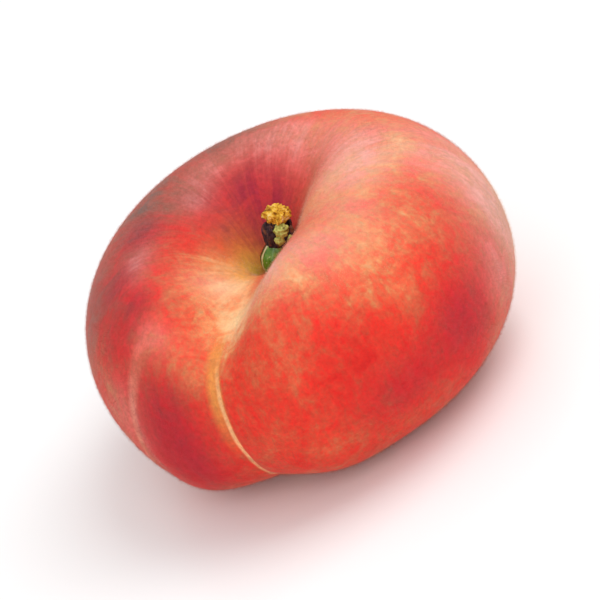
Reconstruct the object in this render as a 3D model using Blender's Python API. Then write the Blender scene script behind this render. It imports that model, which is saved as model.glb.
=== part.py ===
"""Flat peach: a fruit with its short stem, at real size, in metres.

The origin is in the middle of the underside, on the surface that the fruit rests on. +Z runs up
the fruit's axis to its stem end, and the suture, the seam between the two lobes, faces -Y.
"""

import math

import bmesh
import bpy
import numpy as np
from mathutils import Matrix, Vector
from mathutils.bvhtree import BVHTree

# The fruit's profile. A station runs along it: 0 is the middle of the stem cavity, 1 the crest of
# the shoulder, 2 the girth, 3 the ring that the fruit rests on, and 4 the blossom end.
FLOOR, CREST, GIRTH, RING, BLOSSOM = range(5)
GIRTH_RADIUS = 0.0360
GIRTH_HEIGHT = 0.0207
CREST_RADIUS = 0.0204
CREST_HEIGHT = 0.0406
FLOOR_RADIUS = 0.0027
FLOOR_HEIGHT = 0.0265
FLOOR_STATION = 0.12
RING_RADIUS = 0.0138
DIMPLE_DEPTH = 0.0050
FUNNEL_POWER = 1.12
SHOULDER_ROUNDNESS = 2.0
FLANK_ROUNDNESS = 2.15
CAVITY_SHIFT = (-0.0015, -0.0003)

# The lobes on both sides of the suture, which differ a little
SUTURE_AZIMUTH = math.radians(-90)
OVAL_SHARE = 0.002
THREE_SIDED_SHARE = 0.007
THREE_SIDED_AZIMUTH = math.radians(20)
CREST_OVAL_SHARE = 0.03
RIGHT_LOBE_AZIMUTH = math.radians(66)
RIGHT_LOBE_SPREAD = math.radians(58)
RIGHT_CREST_DROP = 0.0014
RIGHT_GIRTH_RISE = 0.0004
LEFT_LOBE_AZIMUTH = math.radians(-60)
LEFT_LOBE_SPREAD = math.radians(55)
LEFT_CREST_DROP = 0.0016
LEFT_GIRTH_DROP = 0.0004

# The valley from the cavity over the shoulder, and the crease that goes on round the flank
VALLEY_DEPTH = 0.0092
VALLEY_STATION = 1.0
VALLEY_REACH = 0.60
VALLEY_HALF_WIDTH = 0.0086
VALLEY_POWER = 2.0
HOLLOW_DEPTH = 0.0010
HOLLOW_HALF_WIDTH = 0.0070
CREASE_DEPTH = 0.00055
CREASE_HALF_WIDTH = 0.0009
BACK_VALLEY_DEPTH = 0.0040
BACK_VALLEY_AZIMUTH = math.radians(70)
BACK_VALLEY_STATION = 0.62
BACK_VALLEY_REACH = 0.34
BACK_VALLEY_HALF_WIDTH = 0.0055
FOLD_DEPTH = 0.00035
FOLD_AZIMUTH = math.radians(-121)
FOLD_HALF_WIDTH = 0.0022
RIGHT_SWELL = 0.0008
RIGHT_SWELL_FROM_SUTURE = 0.011
RIGHT_SWELL_HALF_WIDTH = 0.007
LEFT_SWELL = 0.0016
LEFT_SWELL_FROM_SUTURE = -0.0135
LEFT_SWELL_HALF_WIDTH = 0.009

# The three low points that the fruit rests on, pressed a little flat
FEET = 3
FIRST_FOOT_AZIMUTH = math.radians(90)
FEET_RISE_BETWEEN = 0.0009
FEET_REACH = 0.45
PRESSED_FLAT = 0.00022

# The blossom end's scar, a shallow pit with a raised rim
SCAR_RADIUS = 0.0016
SCAR_PIT_DEPTH = 0.0006
SCAR_RIM_HEIGHT = 0.00035
SCAR_RIM_HALF_WIDTH = 0.0006

# The mesh, with its meridians closer together by the suture
MERIDIANS = 84
PARALLELS = 46
SUTURE_CROWDING = 0.6
STATION_STEP = 0.001

# The stem: a green stub, a ring of dry bud scales, three woody knobs and a corky broken end.
# It is made upright, then leans and is trimmed to follow the floor of the cavity.
STEM_GAP = 0.0003
STEM_LEAN = math.radians(25)
STEM_LEAN_AZIMUTH = math.radians(32)
STEM_ROOT = 0.0012
STUB_RADIUS = 0.0024
STUB_HEIGHT = 0.0068
STUB_NARROWING = 0.30
NECK_RADIUS = 0.0017
NECK_BOTTOM = 0.0030
NECK_TOP = 0.0092
SCALE_COUNT = 7
SCALE_MIDDLE_HEIGHT = 0.0062
SCALE_MIDDLE_RADIUS = 0.0021
SCALE_RING_SHIFT = 0.0004
SCALE_LENGTH = 0.0040
SCALE_WIDTH = 0.0021
SCALE_THICKNESS = 0.0009
SCALE_SPLAY = math.radians(20)
KNOBS = (  # radius, azimuth round the stem, distance from its axis, height
    (0.0012, math.radians(-48), 0.0021, 0.0076),
    (0.0009, math.radians(-52), 0.0022, 0.0061),
    (0.0007, math.radians(-18), 0.0026, 0.0062),
)
CROWN_RADIUS = 0.0023
CROWN_MIDDLE_HEIGHT = 0.0096
CROWN_HALF_HEIGHT = 0.0015
CROWN_LOBES = 7
CROWN_LOBE_SHARE = 0.16

SKIN_COLOUR = (0.72, 0.13, 0.06, 1.0)
SKIN_ROUGHNESS = 0.62
STEM_COLOUR = (0.21, 0.22, 0.05, 1.0)
STEM_ROUGHNESS = 0.7


def ease(low, high, value):
    """0 below low, 1 above high, and smooth between them."""
    share = np.clip((value - low) / (high - low), 0, 1)
    return share * share * (3 - 2 * share)


def hump(value, centre, half_width):
    return np.exp(-(((value - centre) / half_width) ** 2))


def turn_from(azimuth, start):
    """The shorter way round from start to azimuth, in radians."""
    return (azimuth - start + math.pi) % (2 * math.pi) - math.pi


def profile(station, azimuth):
    """The fruit's radius and height before the valleys and creases are pressed in."""
    turn = turn_from(azimuth, SUTURE_AZIMUTH)
    right = hump(turn, RIGHT_LOBE_AZIMUTH, RIGHT_LOBE_SPREAD)
    left = hump(turn, LEFT_LOBE_AZIMUTH, LEFT_LOBE_SPREAD)
    girth_radius = GIRTH_RADIUS * (
        1
        + OVAL_SHARE * np.cos(2 * turn)
        + THREE_SIDED_SHARE * np.cos(3 * (azimuth - THREE_SIDED_AZIMUTH))
    )
    girth_height = GIRTH_HEIGHT + RIGHT_GIRTH_RISE * right - LEFT_GIRTH_DROP * left
    crest_radius = CREST_RADIUS * (1 + CREST_OVAL_SHARE * np.cos(2 * turn))
    crest_height = CREST_HEIGHT - RIGHT_CREST_DROP * right - LEFT_CREST_DROP * left

    on_floor = np.clip(station / FLOOR_STATION, 0, 1)
    up_wall = np.clip((station - FLOOR_STATION) / (CREST - FLOOR_STATION), 0, 1) * math.pi / 2
    over_shoulder = np.clip(station - CREST, 0, 1) * math.pi / 2
    down_flank = np.clip(station - GIRTH, 0, 1) * math.pi / 2
    into_dimple = np.clip(station - RING, 0, 1)
    shoulder, flank = 2 / SHOULDER_ROUNDNESS, 2 / FLANK_ROUNDNESS

    sections = [station <= CREST, station <= GIRTH, station <= RING, station <= BLOSSOM]
    radius = np.select(
        sections,
        [
            FLOOR_RADIUS * on_floor + (crest_radius - FLOOR_RADIUS) * (1 - np.cos(up_wall)),
            crest_radius + (girth_radius - crest_radius) * np.sin(over_shoulder) ** shoulder,
            RING_RADIUS + (girth_radius - RING_RADIUS) * np.cos(down_flank) ** flank,
            RING_RADIUS * (1 - into_dimple),
        ],
    )
    height = np.select(
        sections,
        [
            FLOOR_HEIGHT + (crest_height - FLOOR_HEIGHT) * np.sin(up_wall) ** FUNNEL_POWER,
            girth_height + (crest_height - girth_height) * np.cos(over_shoulder) ** shoulder,
            girth_height * (1 - np.sin(down_flank) ** flank),
            DIMPLE_DEPTH * (1 - np.cos(math.pi * into_dimple)) / 2,
        ],
    )
    return radius, height


def valleys(station, azimuth, radius):
    """How deep the valleys in front of the cavity and behind it lie below the profile."""
    from_suture = radius * turn_from(azimuth, SUTURE_AZIMUTH)
    from_back_valley = radius * turn_from(azimuth, BACK_VALLEY_AZIMUTH)
    front = VALLEY_DEPTH * hump(station, VALLEY_STATION, VALLEY_REACH)
    front = front * np.exp(-(np.abs(from_suture / VALLEY_HALF_WIDTH) ** VALLEY_POWER))
    back = BACK_VALLEY_DEPTH * hump(station, BACK_VALLEY_STATION, BACK_VALLEY_REACH)
    back = back * np.exp(-(np.abs(from_back_valley / BACK_VALLEY_HALF_WIDTH) ** VALLEY_POWER))
    return front + back


def relief(station, azimuth, radius):
    """How far the skin stands out from its profile, or lies below it where that is negative."""
    from_suture = radius * turn_from(azimuth, SUTURE_AZIMUTH)
    from_fold = radius * turn_from(azimuth, FOLD_AZIMUTH)
    on_flank = ease(0.9, 1.6, station) * (1 - ease(3.3, 4.0, station))
    hollow = HOLLOW_DEPTH * on_flank * hump(from_suture, 0, HOLLOW_HALF_WIDTH)
    crease = CREASE_DEPTH * ease(1.2, 1.8, station) * (1 - ease(3.6, 4.0, station))
    crease = crease * np.exp(-np.abs(from_suture) / CREASE_HALF_WIDTH)
    fold = FOLD_DEPTH * ease(1.2, 1.8, station) * (1 - ease(2.6, 3.2, station))
    fold = fold * hump(from_fold, 0, FOLD_HALF_WIDTH)
    right = RIGHT_SWELL * hump(from_suture, RIGHT_SWELL_FROM_SUTURE, RIGHT_SWELL_HALF_WIDTH)
    right = right * ease(0.5, 1.2, station) * (1 - ease(2.5, 3.0, station))
    left = LEFT_SWELL * hump(from_suture, LEFT_SWELL_FROM_SUTURE, LEFT_SWELL_HALF_WIDTH)
    left = left * ease(1.7, 2.4, station) * (1 - ease(2.4, 3.05, station))
    return right + left - hollow - crease - fold


def rested(station, azimuth, radius, height):
    """The height once the fruit rests on its feet, with the blossom end's scar."""
    between_feet = (1 - np.cos(FEET * (azimuth - FIRST_FOOT_AZIMUTH))) / 2
    height = height + FEET_RISE_BETWEEN * between_feet * hump(station, RING, FEET_REACH)
    below = station > RING
    pit = SCAR_PIT_DEPTH * hump(radius, 0, SCAR_RADIUS)
    rim = SCAR_RIM_HEIGHT * hump(radius, SCAR_RADIUS, SCAR_RIM_HALF_WIDTH)
    height = height + np.where(below, pit - rim, 0)
    return np.where(station > GIRTH, np.maximum(height - PRESSED_FLAT, 0), height - PRESSED_FLAT)


def skin(station, azimuth):
    """Points of the fruit's surface, one row for each station and azimuth."""
    radius, height = profile(station, azimuth)
    before = profile(np.maximum(station - STATION_STEP, FLOOR), azimuth)
    after = profile(np.minimum(station + STATION_STEP, BLOSSOM), azimuth)
    along_radius, along_height = after[0] - before[0], after[1] - before[1]
    length = np.hypot(along_radius, along_height)
    out = relief(station, azimuth, radius)
    height = height + along_radius / length * out - valleys(station, azimuth, radius)
    radius = radius - along_height / length * out
    height = rested(station, azimuth, radius, height)
    shift = 1 - ease(0.2, 1.6, station)
    return np.stack(
        [
            radius * np.cos(azimuth) + CAVITY_SHIFT[0] * shift,
            radius * np.sin(azimuth) + CAVITY_SHIFT[1] * shift,
            height,
        ],
        axis=-1,
    )


def clear_scene():
    for obj in list(bpy.data.objects):
        bpy.data.objects.remove(obj, do_unlink=True)


def collection_named(name):
    made = bpy.data.collections.new(name)
    bpy.context.scene.collection.children.link(made)
    return made


def matte(name, colour, roughness):
    material = bpy.data.materials.new(name)
    material.use_nodes = True
    shader = material.node_tree.nodes["Principled BSDF"]
    shader.inputs["Base Color"].default_value = colour
    shader.inputs["Roughness"].default_value = roughness
    shader.inputs["Metallic"].default_value = 0.0
    return material


def object_from(name, mesh_builder, collection):
    mesh = bpy.data.meshes.new(name)
    mesh_builder.to_mesh(mesh)
    mesh_builder.free()
    obj = bpy.data.objects.new(name, mesh)
    collection.objects.link(obj)
    return obj


def make_fruit(collection):
    """A sphere whose vertices are moved onto the fruit's skin. Returns it and its box's middle."""
    sphere = bmesh.new()
    bmesh.ops.create_uvsphere(sphere, u_segments=MERIDIANS, v_segments=PARALLELS, radius=1.0)
    points = np.array([vertex.co for vertex in sphere.verts], float)
    station = BLOSSOM * np.arccos(np.clip(points[:, 2], -1, 1)) / math.pi
    even = np.arctan2(points[:, 1], points[:, 0])
    azimuth = even - SUTURE_CROWDING * np.sin(even - SUTURE_AZIMUTH)
    placed = skin(station, azimuth)
    middle = (placed.min(axis=0) + placed.max(axis=0)) / 2
    placed[:, :2] -= middle[:2]
    for vertex, point in zip(sphere.verts, placed):
        vertex.co = point
    fruit = object_from("fruit", sphere, collection)
    fruit.data.shade_smooth()
    fruit.data.materials.append(matte("peach_skin", SKIN_COLOUR, SKIN_ROUGHNESS))
    return fruit, middle


def ball(mesh_builder, segments, rings):
    """The vertices of a new sphere of radius 1."""
    made = bmesh.ops.create_uvsphere(
        mesh_builder, u_segments=segments, v_segments=rings, radius=1.0
    )
    return made["verts"]


def rounded_stub(mesh_builder):
    for vertex in ball(mesh_builder, 20, 16):
        x, y, z = vertex.co
        radius = STUB_RADIUS * (1 - STUB_NARROWING * max(z, 0))
        vertex.co = (radius * x, radius * y, STUB_HEIGHT / 2 * (z + 1) - STEM_ROOT)


def neck(mesh_builder):
    made = bmesh.ops.create_cone(
        mesh_builder,
        cap_ends=True,
        segments=16,
        radius1=NECK_RADIUS,
        radius2=NECK_RADIUS,
        depth=NECK_TOP - NECK_BOTTOM,
    )
    bmesh.ops.translate(
        mesh_builder, verts=made["verts"], vec=(0, 0, (NECK_TOP + NECK_BOTTOM) / 2)
    )


def bud_scale(mesh_builder, number):
    """One dry bud scale, a thin pointed oval that leans out from the stem."""
    azimuth = 2 * math.pi * (number + 0.25 * math.sin(2.4 * number)) / SCALE_COUNT
    length = SCALE_LENGTH * (1 + 0.14 * math.sin(1.7 * number))
    for vertex in ball(mesh_builder, 10, 8):
        pointed = 1 - 0.35 * max(vertex.co.z, 0)
        across = vertex.co.x * pointed * SCALE_WIDTH / 2
        through = vertex.co.y * SCALE_THICKNESS / 2
        up = vertex.co.z * length / 2
        out = SCALE_MIDDLE_RADIUS + through + up * math.tan(SCALE_SPLAY)
        vertex.co = (
            out * math.cos(azimuth) - across * math.sin(azimuth) + SCALE_RING_SHIFT,
            out * math.sin(azimuth) + across * math.cos(azimuth),
            SCALE_MIDDLE_HEIGHT + up,
        )


def knob(mesh_builder, radius, azimuth, distance, height):
    for vertex in ball(mesh_builder, 12, 8):
        vertex.co = vertex.co * radius
        vertex.co.x += distance * math.cos(azimuth)
        vertex.co.y += distance * math.sin(azimuth)
        vertex.co.z += height


def crown(mesh_builder):
    """The corky broken end, a low ball with uneven lobes round it."""
    for vertex in ball(mesh_builder, 4 * CROWN_LOBES, 10):
        x, y, z = vertex.co
        azimuth = math.atan2(y, x)
        lobe = math.cos(CROWN_LOBES * azimuth) + 0.5 * math.sin(3 * azimuth + 4 * z)
        radius = CROWN_RADIUS * (1 + CROWN_LOBE_SHARE * lobe)
        vertex.co = (radius * x, radius * y, CROWN_MIDDLE_HEIGHT + CROWN_HALF_HEIGHT * z)


def join_all(obj, others):
    """Joins every object of a collection to obj by one Boolean union, then removes them."""
    union = obj.modifiers.new("union", "BOOLEAN")
    union.operation = "UNION"
    union.operand_type = "COLLECTION"
    union.collection = others
    union.solver = "EXACT"
    graph = bpy.context.evaluated_depsgraph_get()
    joined = bpy.data.meshes.new_from_object(obj.evaluated_get(graph))
    obj.modifiers.remove(union)
    obj.data = joined
    for other in list(others.objects):
        bpy.data.objects.remove(other, do_unlink=True)
    bpy.data.collections.remove(others)


def settle(stem, fruit):
    """Trims what would be in the fruit's flesh to lie just above its skin."""
    graph = bpy.context.evaluated_depsgraph_get()
    ground = BVHTree.FromObject(fruit, graph)
    for vertex in stem.data.vertices:
        above = Vector((vertex.co.x, vertex.co.y, CREST_HEIGHT))
        hit = ground.ray_cast(above, Vector((0, 0, -1)))[0]
        vertex.co.z = max(vertex.co.z, hit.z + STEM_GAP)


def make_stem(collection, fruit, fruit_middle):
    base = bmesh.new()
    rounded_stub(base)
    stem = object_from("stem", base, collection)
    growths = collection_named("stem_growths")
    shapes = [(neck, ())]
    shapes += [(bud_scale, (number,)) for number in range(SCALE_COUNT)]
    shapes += [(knob, sizes) for sizes in KNOBS]
    shapes += [(crown, ())]
    for number, (shape, sizes) in enumerate(shapes):
        builder = bmesh.new()
        shape(builder, *sizes)
        object_from(f"growth_{number}", builder, growths)
    join_all(stem, growths)
    lean_axis = Vector((-math.sin(STEM_LEAN_AZIMUTH), math.cos(STEM_LEAN_AZIMUTH), 0))
    foot = Vector((CAVITY_SHIFT[0], CAVITY_SHIFT[1], FLOOR_HEIGHT)) - Vector(
        (fruit_middle[0], fruit_middle[1], 0)
    )
    stem.data.transform(Matrix.Translation(foot) @ Matrix.Rotation(STEM_LEAN, 4, lean_axis))
    settle(stem, fruit)
    stem.data.shade_smooth()
    stem.data.set_sharp_from_angle(angle=math.radians(40))
    stem.data.materials.clear()
    stem.data.materials.append(matte("stem_wood", STEM_COLOUR, STEM_ROUGHNESS))
    return stem


def main():
    clear_scene()
    collection = collection_named("flat_peach")
    fruit, fruit_middle = make_fruit(collection)
    make_stem(collection, fruit, fruit_middle)


main()
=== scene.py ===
"""Looks of the flat peach: its mottled skin under fine down, and its short woody stem.

Lengths are in metres. The origin is in the middle of the underside, +Z runs up the fruit's axis to
its stem end, and the suture, the seam between the two lobes, faces -Y.
"""

import math

import bmesh
import bpy
import numpy as np
from mathutils import Matrix, Quaternion, Vector, noise


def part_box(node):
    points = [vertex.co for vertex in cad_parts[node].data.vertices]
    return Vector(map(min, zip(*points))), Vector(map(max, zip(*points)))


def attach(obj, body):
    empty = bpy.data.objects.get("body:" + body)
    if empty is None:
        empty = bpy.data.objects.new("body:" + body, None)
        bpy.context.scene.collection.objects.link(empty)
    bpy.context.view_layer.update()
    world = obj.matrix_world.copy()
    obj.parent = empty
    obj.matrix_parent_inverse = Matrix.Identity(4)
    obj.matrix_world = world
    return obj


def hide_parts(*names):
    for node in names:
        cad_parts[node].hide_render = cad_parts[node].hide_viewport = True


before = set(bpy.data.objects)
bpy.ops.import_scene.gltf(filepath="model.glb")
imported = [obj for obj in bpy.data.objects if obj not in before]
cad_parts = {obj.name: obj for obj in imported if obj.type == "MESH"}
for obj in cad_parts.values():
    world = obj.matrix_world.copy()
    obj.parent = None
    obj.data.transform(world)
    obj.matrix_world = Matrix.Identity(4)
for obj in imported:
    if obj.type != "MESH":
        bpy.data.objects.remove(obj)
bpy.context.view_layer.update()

# The fruit's profile, as in the solid. A station runs along it: 0 is the middle of the stem
# cavity, 1 the crest of the shoulder, 2 the girth, 3 the resting ring and 4 the blossom end.
FLOOR, CREST, GIRTH, RING, BLOSSOM = range(5)
GIRTH_RADIUS = 0.0360
GIRTH_HEIGHT = 0.0207
CREST_RADIUS = 0.0204
CREST_HEIGHT = 0.0406
FLOOR_RADIUS = 0.0027
FLOOR_HEIGHT = 0.0265
FLOOR_STATION = 0.12
RING_RADIUS = 0.0138
DIMPLE_DEPTH = 0.0050
FUNNEL_POWER = 1.12
SHOULDER_ROUNDNESS = 2.0
FLANK_ROUNDNESS = 2.15
CAVITY_SHIFT = (-0.0015, -0.0003)
SUTURE_AZIMUTH = math.radians(-90)
OVAL_SHARE = 0.002
THREE_SIDED_SHARE = 0.007
THREE_SIDED_AZIMUTH = math.radians(20)
CREST_OVAL_SHARE = 0.03
RIGHT_LOBE_AZIMUTH = math.radians(66)
RIGHT_LOBE_SPREAD = math.radians(58)
RIGHT_CREST_DROP = 0.0014
RIGHT_GIRTH_RISE = 0.0004
LEFT_LOBE_AZIMUTH = math.radians(-60)
LEFT_LOBE_SPREAD = math.radians(55)
LEFT_CREST_DROP = 0.0016
LEFT_GIRTH_DROP = 0.0004
VALLEY_DEPTH = 0.0092
VALLEY_STATION = 1.0
VALLEY_REACH = 0.60
VALLEY_HALF_WIDTH = 0.0086
VALLEY_POWER = 2.0
HOLLOW_DEPTH = 0.0010
HOLLOW_HALF_WIDTH = 0.0070
CREASE_DEPTH = 0.00055
CREASE_HALF_WIDTH = 0.0009
BACK_VALLEY_DEPTH = 0.0040
BACK_VALLEY_AZIMUTH = math.radians(70)
BACK_VALLEY_STATION = 0.62
BACK_VALLEY_REACH = 0.34
BACK_VALLEY_HALF_WIDTH = 0.0055
FOLD_DEPTH = 0.00035
FOLD_AZIMUTH = math.radians(-121)
FOLD_HALF_WIDTH = 0.0022
RIGHT_SWELL = 0.0008
RIGHT_SWELL_FROM_SUTURE = 0.011
RIGHT_SWELL_HALF_WIDTH = 0.007
LEFT_SWELL = 0.0016
LEFT_SWELL_FROM_SUTURE = -0.0135
LEFT_SWELL_HALF_WIDTH = 0.009
FEET = 3
FIRST_FOOT_AZIMUTH = math.radians(90)
FEET_RISE_BETWEEN = 0.0009
FEET_REACH = 0.45
PRESSED_FLAT = 0.00022
SCAR_RADIUS = 0.0016
SCAR_PIT_DEPTH = 0.0006
SCAR_RIM_HEIGHT = 0.00035
SCAR_RIM_HALF_WIDTH = 0.0006
STATION_STEP = 0.001

# The stations where each form begins, is full, begins to end and is gone
HOLLOW_STATIONS = (0.9, 1.6, 3.3, 4.0)
CREASE_STATIONS = (1.2, 1.8, 3.6, 4.0)
FOLD_STATIONS = (1.2, 1.8, 2.6, 3.2)
RIGHT_SWELL_STATIONS = (0.5, 1.2, 2.5, 3.0)
LEFT_SWELL_STATIONS = (1.7, 2.4, 2.4, 3.05)
CAVITY_SHIFT_FADES = (0.2, 1.6)

# The stem, as in the solid
STEM_LEAN = math.radians(25)
STEM_LEAN_AZIMUTH = math.radians(32)
STEM_ROOT = 0.0012
STUB_RADIUS = 0.0024
STUB_HEIGHT = 0.0068
STUB_NARROWING = 0.30
NECK_RADIUS = 0.0017
NECK_BOTTOM = 0.0030
NECK_TOP = 0.0092
SCALE_COUNT = 7
SCALE_MIDDLE_HEIGHT = 0.0062
SCALE_MIDDLE_RADIUS = 0.0021
SCALE_RING_SHIFT = 0.0004
SCALE_LENGTH = 0.0040
SCALE_WIDTH = 0.0021
SCALE_THICKNESS = 0.0009
SCALE_SPLAY = math.radians(20)
KNOBS = (  # radius, azimuth round the stem, distance from its axis, height
    (0.0012, math.radians(-48), 0.0021, 0.0076),
    (0.0009, math.radians(-52), 0.0022, 0.0061),
    (0.0007, math.radians(-18), 0.0026, 0.0062),
)
CROWN_RADIUS = 0.0023
CROWN_MIDDLE_HEIGHT = 0.0096
CROWN_HALF_HEIGHT = 0.0015
CROWN_LOBES = 7
CROWN_LOBE_SHARE = 0.16

# The stem's finer forms. A roughness is how fast a form's noise changes over a ball's radius.
STUB_RIBS = 9
STUB_RIB_SHARE = 0.03
NECK_SWELL = 1.15
NECK_ROUGH_SHARE = 0.18
NECK_ROUGHNESS = Vector((3, 3, 2))
SCALE_UNEVEN_GAPS = (0.25, 2.4)  # share of a gap, radians from one scale to the next
SCALE_UNEVEN_LENGTHS = (0.14, 1.7)  # share of the length, radians from one scale to the next
SCALE_TIP_NARROWING = 0.25
SCALE_EDGE_SHARE = 0.60
SCALE_EDGE_ROUGHNESS = (2, 7)  # across and along the scale
SCALE_EDGE_THINNING = 0.45
SCALE_RIB_HEIGHT = 0.00012
SCALE_RIB_HALF_WIDTH = 0.16
SCALE_CURL = 0.0007
SCALE_TIP_CURL = 0.0008
KNOB_BUMP_SHARE = 0.24
KNOB_BUMPINESS = 2.8
KNOB_APART = 5000  # sets each knob's bumps apart from the others'
CROWN_TWIST = 4
CROWN_NOISE_SHIFT = 4
CROWN_SECOND_LOBES = 3
CROWN_SECOND_SHARE = 0.5
CROWN_RAGGED_SHARE = 0.22
CROWN_ROUGHNESS = (2.3, 1.7)  # across and along the stem
CRUMB_SIZE = 0.0009
CRUMB_HEIGHT = 0.00065
CRUMB_MIDDLE = 0.3
CRUMB_SHIFT = Vector((0.3, 0, 0))
CRUMB_FINE_SHARE = 0.35
CRUMB_FINENESS = 3

# The skin's mesh
MERIDIANS = 380
PARALLELS = 250
SUTURE_CROWDING = 0.5

# The stem's meshes: segments round each ball and rings along it
STUB_MESH = (72, 48)
NECK_MESH = (48, 36)
SCALE_MESH = (36, 28)
KNOB_MESH = (44, 32)
CROWN_MESH = (132, 88)

# What streaks follow from the cavity down the side: name, and how fast they change on the way
STREAK_PATHS = (("spoke", 0.16), ("thread", 0.30))

# The camera looks at the fruit as the photograph does, from nearer by
PHOTO_PIXEL = 0.0003745
PHOTO_SPAN = 260
VIEW_AZIMUTH = math.radians(31.8)
VIEW_ELEVATION = math.radians(27.8)
VIEW_ROLL = math.radians(25.6)
VIEW_DISTANCE = 0.7
SENSOR_WIDTH = 36
AIM = (0.0005, -0.0010, 0.0202)

# Light: name, place in the camera's right, up and back, size, power
LIGHTS = (
    ("key", (0.15, 0.9, 0.35), 0.7, 5.0),
    ("front", (-0.15, 0.0, 1.0), 0.8, 3.2),
)
WORLD_STRENGTH = 0.78
FLOOR_HALF_SIZE = 4.0
PAPER_GRAIN = (6, 3)
PAPER_COLOURS = ((0.88, 0.88, 0.88, 1.0), (0.91, 0.91, 0.91, 1.0))
PAPER_ROUGHNESS = 0.35

MILLIMETRE = 0.001

# What colours the skin, as soft strokes that lie over each other: value, strength, station and its
# reach, azimuth and its reach in degrees, and slant, the stations that it runs down in a radian
BLUSH_EVERYWHERE = 0.60
BLUSH_STROKES = (
    (0.05, 0.85, 3.7, 0.9, 0, 400, 0),
    (0.18, 0.75, 2.3, 0.8, 92, 45, 0),
    (0.30, 0.90, 1.10, 0.42, 15, 70, 0),
    (0.62, 0.75, 1.10, 0.15, 41, 15, 0),
    (0.24, 0.80, 1.12, 0.28, -60, 24, 0),
    (0.14, 0.80, 1.42, 0.20, -36, 16, 0),
    (0.62, 0.50, 1.38, 0.10, -57, 7, 0),
    (0.22, 0.65, 1.68, 0.12, -33, 7, 0),
    (0.62, 0.60, 1.66, 0.22, -78, 14, 0),
    (0.95, 0.90, 2.08, 0.32, -42, 30, 0),
    (0.95, 0.60, 1.78, 0.18, -52, 8, 0),
    (1.10, 0.70, 2.05, 0.35, -20, 8, 0),
    (0.48, 0.80, 1.95, 0.40, -3, 6, 0),
    (0.20, 0.85, 1.90, 0.50, 20, 16, 0),
    (0.35, 0.50, 2.30, 0.09, -67, 7, 0),
    (1.15, 0.90, 2.12, 0.36, -107, 13, 0),
    (0.68, 0.70, 1.40, 0.35, -118, 14, 0),
    (0.10, 0.80, 0.74, 0.22, 10, 34, 0),
    (0.62, 0.70, 0.75, 0.22, -190, 24, 0.15),
    (0.70, 0.85, 0.55, 0.25, 112, 34, 0),
    (0.70, 0.80, 0.60, 0.20, 75, 10, 0),
    (0.05, 0.90, 0.40, 0.24, -142, 44, 0.30),
    (0.15, 0.60, 0.70, 0.12, -134, 12, 0.2),
    (-0.08, 0.90, 0.68, 0.26, -104, 18, 0),
    (-0.12, 0.90, 1.00, 0.24, -86, 11, 0),
    (0.20, 0.60, 1.32, 0.14, -86, 7, 0),
    (0.10, 0.85, 0.12, 0.16, -160, 90, 0),
)
# Painted sheen: pale pink strokes that stand in for light caught by the down, on the lit top of
# the right lobe, on the lip's slope into the valley and in streaks on the left shoulder
PAINTED_SHEEN_STROKES = (
    (1.0, 0.50, 0.95, 0.25, 26, 34, 0),
    (1.0, 0.45, 0.95, 0.22, -62, 12, 0),
    (1.0, 0.22, 1.10, 0.25, -40, 26, 0),
    (1.0, 0.35, 1.50, 0.35, 28, 16, 0),
    (1.0, 0.62, 1.85, 0.38, 18, 14, 0),
    (1.0, 0.24, 2.04, 0.22, 0, 10, 0),
    (1.0, 0.46, 0.92, 0.16, 92, 30, 0),
    (1.0, 0.34, 0.87, 0.11, 140, 17, 0),
    (1.0, 0.42, 0.77, 0.08, -206, 14, 0),
    (1.0, 0.52, 1.02, 0.09, -147, 13, 0.2),
    (1.0, 0.20, 0.72, 0.16, -112, 16, 0),
    (1.0, 0.18, 1.40, 0.15, -112, 8, 0),
    (1.0, 0.22, 1.90, 0.20, -124, 9, 0),
)
# Dark crimson: the skin's own deep colour on the left lobe, and painted shade in the deep cavity
# beside the stem, on its far wall and towards the right edge
CRIMSON_AND_SHADE_STROKES = (
    (1.0, 0.95, 0.58, 0.26, 105, 44, 0),
    (1.0, 0.85, 0.28, 0.22, 98, 50, 0),
    (1.0, 0.62, 0.62, 0.24, -198, 32, 0),
    (1.0, 0.90, 1.02, 0.17, -173, 17, 0),
    (1.0, 0.72, 1.22, 0.34, -143, 16, 0),
    (1.0, 0.55, 1.22, 0.22, -122, 9, 0),
    (1.0, 0.35, 1.50, 0.30, -126, 9, 0),
    (1.0, 0.55, 1.78, 0.26, -107, 9, 0),
    (1.0, 0.52, 2.05, 0.22, -20, 12, 0),
    (1.0, 0.38, 2.14, 0.16, -44, 12, 0),
    (1.0, 0.55, 2.14, 0.32, -106, 12, 0),
    (1.0, 0.35, 1.90, 0.45, -5, 14, 0),
)
# Grey brown dusk: partly dusky skin, and partly painted shade with a greyish painted sheen along
# the silhouettes, most of all the left one
DUSK_AND_SHADE_STROKES = (
    (1.0, 0.95, 1.12, 0.25, -196, 29, 0),
    (1.0, 0.78, 1.12, 0.23, 122, 26, 0),
    (1.0, 0.64, 1.42, 0.26, -164, 20, 0),
    (1.0, 0.45, 1.62, 0.24, -146, 10, 0),
    (1.0, 0.45, 0.88, 0.09, -197, 12, 0),
    (1.0, 0.32, 2.05, 0.45, 20, 16, 0),
)
STREAK_STROKES = (
    (0.70, 0.90, 0.90, 0.45, -170, 60, 0),
    (0.10, 0.90, 0.20, 0.35, 0, 400, 0),
)
STREAKY_EVERYWHERE = 0.2
GREEN_STROKES = (
    (1.0, 0.85, 0.24, 0.20, -160, 60, 0),
    (1.0, 0.40, 0.48, 0.12, -108, 26, 0),
)
# What each set of strokes paints: the sheen is painted light, and the crimson and the dusk hold
# painted shade as well as the skin's colour
PAINTED = (
    ("blush", BLUSH_STROKES, BLUSH_EVERYWHERE),
    ("painted_sheen", PAINTED_SHEEN_STROKES, 0.0),
    ("crimson_and_shade", CRIMSON_AND_SHADE_STROKES, 0.0),
    ("green", GREEN_STROKES, 0.0),
    ("dusk_and_shade", DUSK_AND_SHADE_STROKES, 0.0),
    ("streaky", STREAK_STROKES, STREAKY_EVERYWHERE),
)

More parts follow.
